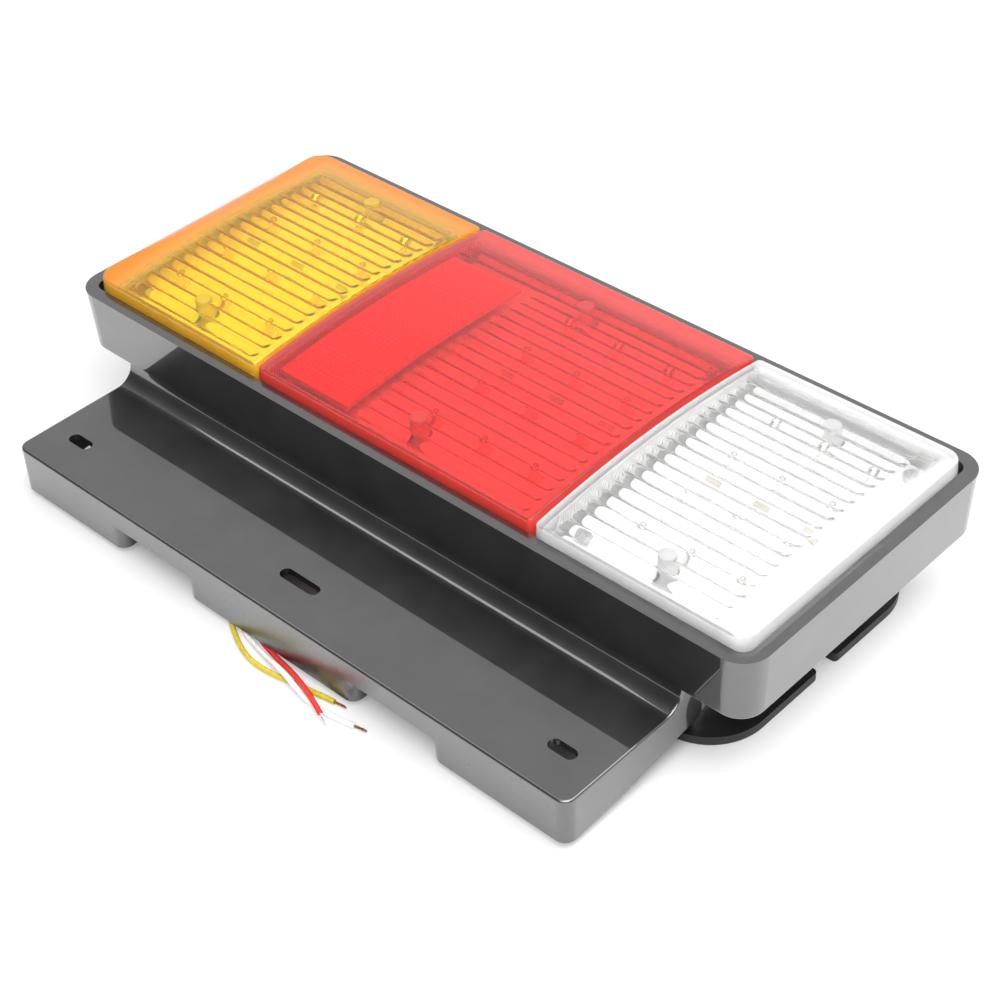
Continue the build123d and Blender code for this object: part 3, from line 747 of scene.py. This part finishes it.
def lens_mesh(lens):
    """A closed lens: smooth crowned outside, drafted sides, fluted inside, open below."""
    rows = lens_rows(lens)
    columns = lens_columns(lens)

    def layer(bm, inset, height):
        """A grid over the plan, pulled in by inset, at the levels that height gives."""
        grid = []
        for row in rows:
            y = lens.middle + row * (lens.half - inset)
            first, last = lens.row_ends(y, inset)
            line = []
            for share in columns:
                x = first + share * (last - first)
                line.append(bm.verts.new((x, y, height(x, y))))
            grid.append(line)
        return grid

    def rim(grid):
        """The grid's outer loop of corners."""
        right = [line[-1] for line in grid[1:-1]]
        left = [line[0] for line in reversed(grid[1:-1])]
        return grid[0] + right + list(reversed(grid[-1])) + left

    def skin(bm, grid):
        """Faces over a grid."""
        for low, high in zip(grid, grid[1:]):
            for k in range(len(low) - 1):
                bm.faces.new((low[k], low[k + 1], high[k + 1], high[k]))

    def loop_at(bm, inset, height):
        """A loop round the plan, pulled in by inset."""
        loop = []
        edges = [(rows[0], share) for share in columns]
        edges += [(row, 1.0) for row in rows[1:-1]]
        edges += [(rows[-1], share) for share in reversed(columns)]
        edges += [(row, 0.0) for row in reversed(rows[1:-1])]
        for row, share in edges:
            y = lens.middle + row * (lens.half - inset)
            first, last = lens.row_ends(y, inset)
            x = first + share * (last - first)
            loop.append(bm.verts.new((x, y, height(x, y))))
        return loop

    def build(bm):
        lean = slope_at(lens)
        outer = layer(bm, lean + LENS_EDGE, lens.crown)
        skin(bm, outer)
        last = rim(outer)
        for k in range(1, EDGE_STEPS + 1):
            angle = math.pi / 2 * k / EDGE_STEPS
            inset = lean + LENS_EDGE * (1 - math.sin(angle))
            drop = LENS_EDGE * (1 - math.cos(angle))
            ring = loop_at(bm, inset, lambda x, y: lens.crown(x, y) - drop)
            band(bm, last, ring)
            last = ring
        foot = loop_at(bm, 0.0, lambda x, y: lens.bottom)
        band(bm, last, foot)
        sill = loop_at(bm, LENS_WALL, lambda x, y: lens.bottom)
        band(bm, foot, sill)
        inner = layer(bm, lean + LENS_WALL, lambda x, y: lens.crown(x, y, LENS_WALL) - lens.flute(x, y))
        band(bm, sill, rim(inner))
        skin(bm, inner)

    return mesh_from(lens.colour + "_lens_shell", build)


def boss_mesh(lens):
    """The two screw bosses of a lens, each with its bore."""
    places = [p for p in centres("lens_screws") if lens.x0 < p[0].x < lens.x1]
    foot = millimetres("amber_lens")[0].z

    def build(bm):
        bore_end = foot + BOSS_BORE_DEPTH
        flat = BOSS_RADIUS - BOSS_EDGE
        for middle, _, _ in places:
            top = lens.crown(middle.x, middle.y, LENS_WALL / 2)
            profile = [(0, bore_end), (BOSS_BORE, bore_end), (BOSS_BORE, foot), (flat, foot)]
            profile += [(BOSS_RADIUS, foot + BOSS_EDGE), (BOSS_RADIUS, top - BOSS_EDGE)]
            profile += [(flat, top), (0, top)]
            lathe(bm, profile, middle.x, middle.y, BOSS_SIDES)

    return mesh_from(lens.colour + "_lens_bosses", build)


def rib_mesh(lens):
    """Fine upright ribs inside the lens's walls."""
    inset = LENS_WALL + slope_at(lens) + RIB_CLEARANCE
    corner = max(lens.left_corner, lens.right_corner)
    along_x = (lens.x0 + inset + corner, lens.x1 - inset - corner)
    along_y = (lens.y0 + inset + corner, lens.y1 - inset - corner)
    walls = (
        (along_x, lens.y0 + inset, "X", 1),
        (along_x, lens.y1 - inset, "X", -1),
        (along_y, lens.x0 + inset, "Y", 1),
        (along_y, lens.x1 - inset, "Y", -1),
    )

    def rib(bm, corners):
        """One upright bar on a plan of corners."""
        bars = []
        for x, y in corners:
            top = lens.crown(x, y, LENS_WALL) - RIB_TOP_CLEARANCE
            bars.append((bm.verts.new((x, y, lens.bottom)), bm.verts.new((x, y, top))))
        feet, tops = zip(*bars)
        band(bm, feet, tops)
        bm.faces.new(feet)
        bm.faces.new(tops)

    def build(bm):
        for (start, end), wall, axis, inward in walls:
            for k in range(int((end - start) / RIB_PITCH)):
                a = start + (k + RIB_GAP / 2) * RIB_PITCH
                b = start + (k + 1 - RIB_GAP / 2) * RIB_PITCH
                corners = [(a, wall), (b, wall), ((a + b) / 2, wall + inward * RIB_DEPTH)]
                rib(bm, corners if axis == "X" else [(x, y) for y, x in corners])

    return mesh_from(lens.colour + "_lens_ribs", build)


def slope_at(lens):
    """How far the drafted side leans in by its top edge."""
    return math.tan(LENS_DRAFT) * (lens.crown(lens.x0 + END_REACH, lens.y0) - lens.bottom)


def make_lens(colour, plastic, dark, pale):
    """One lens with its bosses and ribs, which are duller than the face and painted in a paler tint, as
    painted light.
    """
    lens = Lens(colour)
    shell = piece_from(colour + "_lens_shell", lens_mesh(lens), plastic)
    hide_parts(colour + "_lens")
    # Painted light: the bosses and ribs get a paler tint than the lens.
    bosses = dull_plastic(colour + "_thick", dark, pale, clearness=0.4)
    piece_from(colour + "_lens_bosses", boss_mesh(lens), bosses)
    ribs = dull_plastic(colour + "_dull", dark, pale)
    piece_from(colour + "_lens_ribs", rib_mesh(lens), ribs, smooth=False)


# Diodes


def make_leds(colour, resin):
    """Domed diodes with a flange, where the plain ones stand."""

    def build(bm):
        for middle, low, high in centres(colour + "_leds"):
            shoulder = low + LED_FLANGE
            dome = high - LED_RADIUS
            profile = [(0, low), (LED_FLANGE_RADIUS, low), (LED_FLANGE_RADIUS, shoulder)]
            profile += [(LED_RADIUS, shoulder + LED_STEP), (LED_RADIUS, dome)]
            for k in range(1, LED_DOME_STEPS):
                angle = math.pi / 2 * k / LED_DOME_STEPS
                profile.append((LED_RADIUS * math.cos(angle), dome + LED_RADIUS * math.sin(angle)))
            profile.append((0, high))
            lathe(bm, profile, middle.x, middle.y, LED_SIDES)

    piece = piece_from(colour + "_diodes", mesh_from(colour + "_diodes", build), resin)
    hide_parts(colour + "_leds")


# Stage


def make_floor():
    """A pale floor that the camera sees nearly white and that keeps the lamp's shadow."""
    mesh = bpy.data.meshes.new("floor")
    reach = FLOOR_REACH
    corners = [(-reach, -reach, 0), (reach, -reach, 0), (reach, reach, 0), (-reach, reach, 0)]
    mesh.from_pydata(corners, [], [(0, 1, 2, 3)])
    floor = bpy.data.objects.new("floor", mesh)
    bpy.context.collection.objects.link(floor)
    material, tree, shader = new_material("floor_paper")
    tint = ramp(tree, noise(tree, 3.0), [(0.3, (0.79, 0.79, 0.79)), (0.7, (0.81, 0.81, 0.81))])
    tree.links.new(tint, shader.inputs["Base Color"])
    shader.inputs["Roughness"].default_value = 0.9
    low, high = CAD_BOX
    near_edges = []
    for index, axis in enumerate("XY"):
        near_edges.append((axis, *(low[index] + inside for inside in NEAR_WHITE)))
        near_edges.append((axis, *(high[index] - inside for inside in NEAR_WHITE)))
    far_edges = [(axis, *(side * away for away in FAR_WHITE)) for axis in "XY" for side in (-1, 1)]
    near = spread(tree, past_edges(tree, near_edges), 0.0, 0.5)
    far = spread(tree, past_edges(tree, far_edges), 0.0, 0.5)
    camera_ray = add(tree, "ShaderNodeLightPath").outputs["Is Camera Ray"]
    white = add(tree, "ShaderNodeEmission")
    mixed = add(tree, "ShaderNodeMixShader")
    seen = calculate(tree, "MULTIPLY", camera_ray, calculate(tree, "ADD", near, far))
    tree.links.new(seen, mixed.inputs["Fac"])
    tree.links.new(shader.outputs["BSDF"], mixed.inputs[1])
    tree.links.new(white.outputs["Emission"], mixed.inputs[2])
    tree.links.new(mixed.outputs["Shader"], tree.nodes["Material Output"].inputs["Surface"])
    mesh.materials.append(material)


def make_light(name, place, target, size, power):
    """A soft square lamp that looks at a point."""
    data = bpy.data.lights.new(name, "AREA")
    data.shape = "SQUARE"
    data.size = size
    data.energy = power
    light = bpy.data.objects.new(name, data)
    bpy.context.collection.objects.link(light)
    light.location = place
    light.rotation_euler = (Vector(target) - Vector(place)).to_track_quat("-Z", "Y").to_euler()


def make_world():
    """A pale surround, dim in front and bright at the back, that the camera sees white."""
    world = bpy.data.worlds.new("studio")
    world.use_nodes = True
    tree = world.node_tree
    direction = axes_of(tree, add(tree, "ShaderNodeTexCoord").outputs["Generated"])
    depth = rise(tree, direction["Y"], -0.7, 0.9)
    shade = ramp(tree, depth, [(0.0, FRONT_SKY), (0.55, MIDDLE_SKY), (1.0, BACK_SKY)])
    camera_ray = add(tree, "ShaderNodeLightPath").outputs["Is Camera Ray"]
    tree.links.new(blend(tree, camera_ray, shade, WHITE), tree.nodes["Background"].inputs["Color"])
    bpy.context.scene.world = world


def paint(node, material):
    """One material on a node of the part."""
    mesh = NODES[node].data
    mesh.materials.clear()
    mesh.materials.append(material)


# The scene

bpy.context.scene.view_settings.view_transform = "Standard"
make_camera()

copper = bare_metal("copper", (0.72, 0.36, 0.18), (0.86, 0.50, 0.30), 0.35)
tinned = bare_metal("tinned_copper", (0.70, 0.68, 0.66), (0.85, 0.83, 0.80), 0.40)
wire_looks = (
    ("yellow", (0.55, 0.42, 0.03), (0.72, 0.58, 0.05), copper, "copper_strand"),
    ("white", (0.80, 0.80, 0.79), (0.90, 0.90, 0.89), copper, "copper_strand"),
    ("red", (0.62, 0.02, 0.02), (0.80, 0.05, 0.04), tinned, "tinned_strand"),
)
for colour, dark, pale, metal, strand_slot in wire_looks:
    make_wire(colour, wire_sheath(colour + "_covering", dark, pale), metal)

amber = lens_plastic(
    "amber",
    thin=(1.0, 0.95, 0.20),
    body=(1.0, 0.98, 0.24),
    # dull: darker tint of the edge bands, painted shade
    dull=(1.0, 0.34, 0.03),
    # wall: brighter tint of steep faces, painted light
    wall=(1.0, 0.60, 0.05),
    deep=(1.0, 0.87, 0.0),
    density=250.0,
    bands=((7.0, 15.0), (-1.0, 2.0), (-1.0, 3.0), (2.0, 20.0)),
)
red = lens_plastic(
    "red",
    thin=(1.0, 0.22, 0.21),
    body=(1.0, 0.25, 0.24),
    # dull: darker tint of the edge bands, painted shade
    dull=(0.95, 0.09, 0.08),
    # wall: brighter tint of steep faces, painted light
    wall=(1.0, 0.10, 0.08),
    deep=(1.0, 0.0, 0.0),
    density=55.0,
    bands=((-1.0, 9.0), (-1.0, 2.0), (-1.0, 3.0), (1.0, 18.0)),
)
clear = lens_plastic(
    "clear",
    thin=(0.98, 0.98, 0.98),
    body=(0.99, 0.99, 0.99),
    # dull: darker tint of the edge bands, painted shade
    dull=(0.96, 0.96, 0.96),
    # wall: brighter tint of steep faces, painted light
    wall=(0.99, 0.99, 0.99),
    deep=(0.9, 0.95, 1.0),
    density=1.0,
    bands=((-1.0, 8.0), (1.0, 9.0), (-1.0, 3.0), (1.0, 14.0)),
)
# The last two colours, for bosses and ribs, are paler than the lens: painted light.
make_lens("amber", amber, (1.0, 0.80, 0.30), (1.0, 0.86, 0.38))
make_lens("red", red, (1.0, 0.40, 0.38), (1.0, 0.50, 0.46))
make_lens("clear", clear, (0.94, 0.94, 0.94), (0.98, 0.98, 0.98))
make_leds("amber", led_plastic("amber_resin", (1.0, 0.62, 0.12), (1.0, 0.80, 0.30)))
make_leds("red", led_plastic("red_resin", (0.92, 0.36, 0.30), (0.98, 0.52, 0.42)))
make_leds("clear", led_plastic("clear_resin", (0.90, 0.90, 0.88), (0.96, 0.96, 0.95)))

black_low, black_high = (0.008, 0.008, 0.008), (0.016, 0.016, 0.016)
black_gloss = moulded_plastic("housing_black", black_low, black_high, 0.30, 0.38, 1.55, 1.0, 2.05)
coat_chambers(black_gloss)
skirt_black = moulded_plastic("skirt_black", black_low, black_high, 0.26, 0.30, 1.55, 1.0, 2.05, 0.28)
black_satin = moulded_plastic("cover_black", (0.012, 0.012, 0.012), (0.022, 0.022, 0.022), 0.3, 0.45, 1.5)
rubber = moulded_plastic("soft_rubber", (0.010, 0.010, 0.010), (0.02, 0.02, 0.02), 0.55, 0.75, 1.5)
zinc = bare_metal("zinc_steel", (0.52, 0.53, 0.55), (0.70, 0.70, 0.72), 0.40)
mask = board_mask("white_mask")
paint("housing", black_gloss)
dull_skirt(skirt_black)
paint("rear_cover", black_satin)
paint("lens_seal", moulded_plastic("pale_silicone", (0.72, 0.72, 0.70), (0.82, 0.82, 0.80), 0.4, 0.6, 1.45))
paint("cable_grommet", rubber)
paint("reflex_reflector", prismatic_plastic("reflex_red", (0.75, 0.02, 0.02), (0.95, 0.08, 0.07)))
for part in ("amber_board", "red_board", "clear_board"):
    paint(part, mask)
for part in ("lens_screws", "board_screws", "cover_screws"):
    paint(part, zinc)
paint("resistors", moulded_plastic("chip_body", (0.56, 0.53, 0.46), (0.68, 0.65, 0.58), 0.35, 0.55, 1.5))

make_floor()
make_world()
make_light("key", (0.9, -0.9, 1.7), (0.0, 0.0, 0.03), 1.8, 45.0)
make_light("top", (0.5, 0.4, 2.0), (0.0, 0.0, 0.03), 1.8, 34.0)
make_light("side", (-1.1, 0.15, 1.75), (0.0, -0.05, 0.03), 0.7, 3.0)
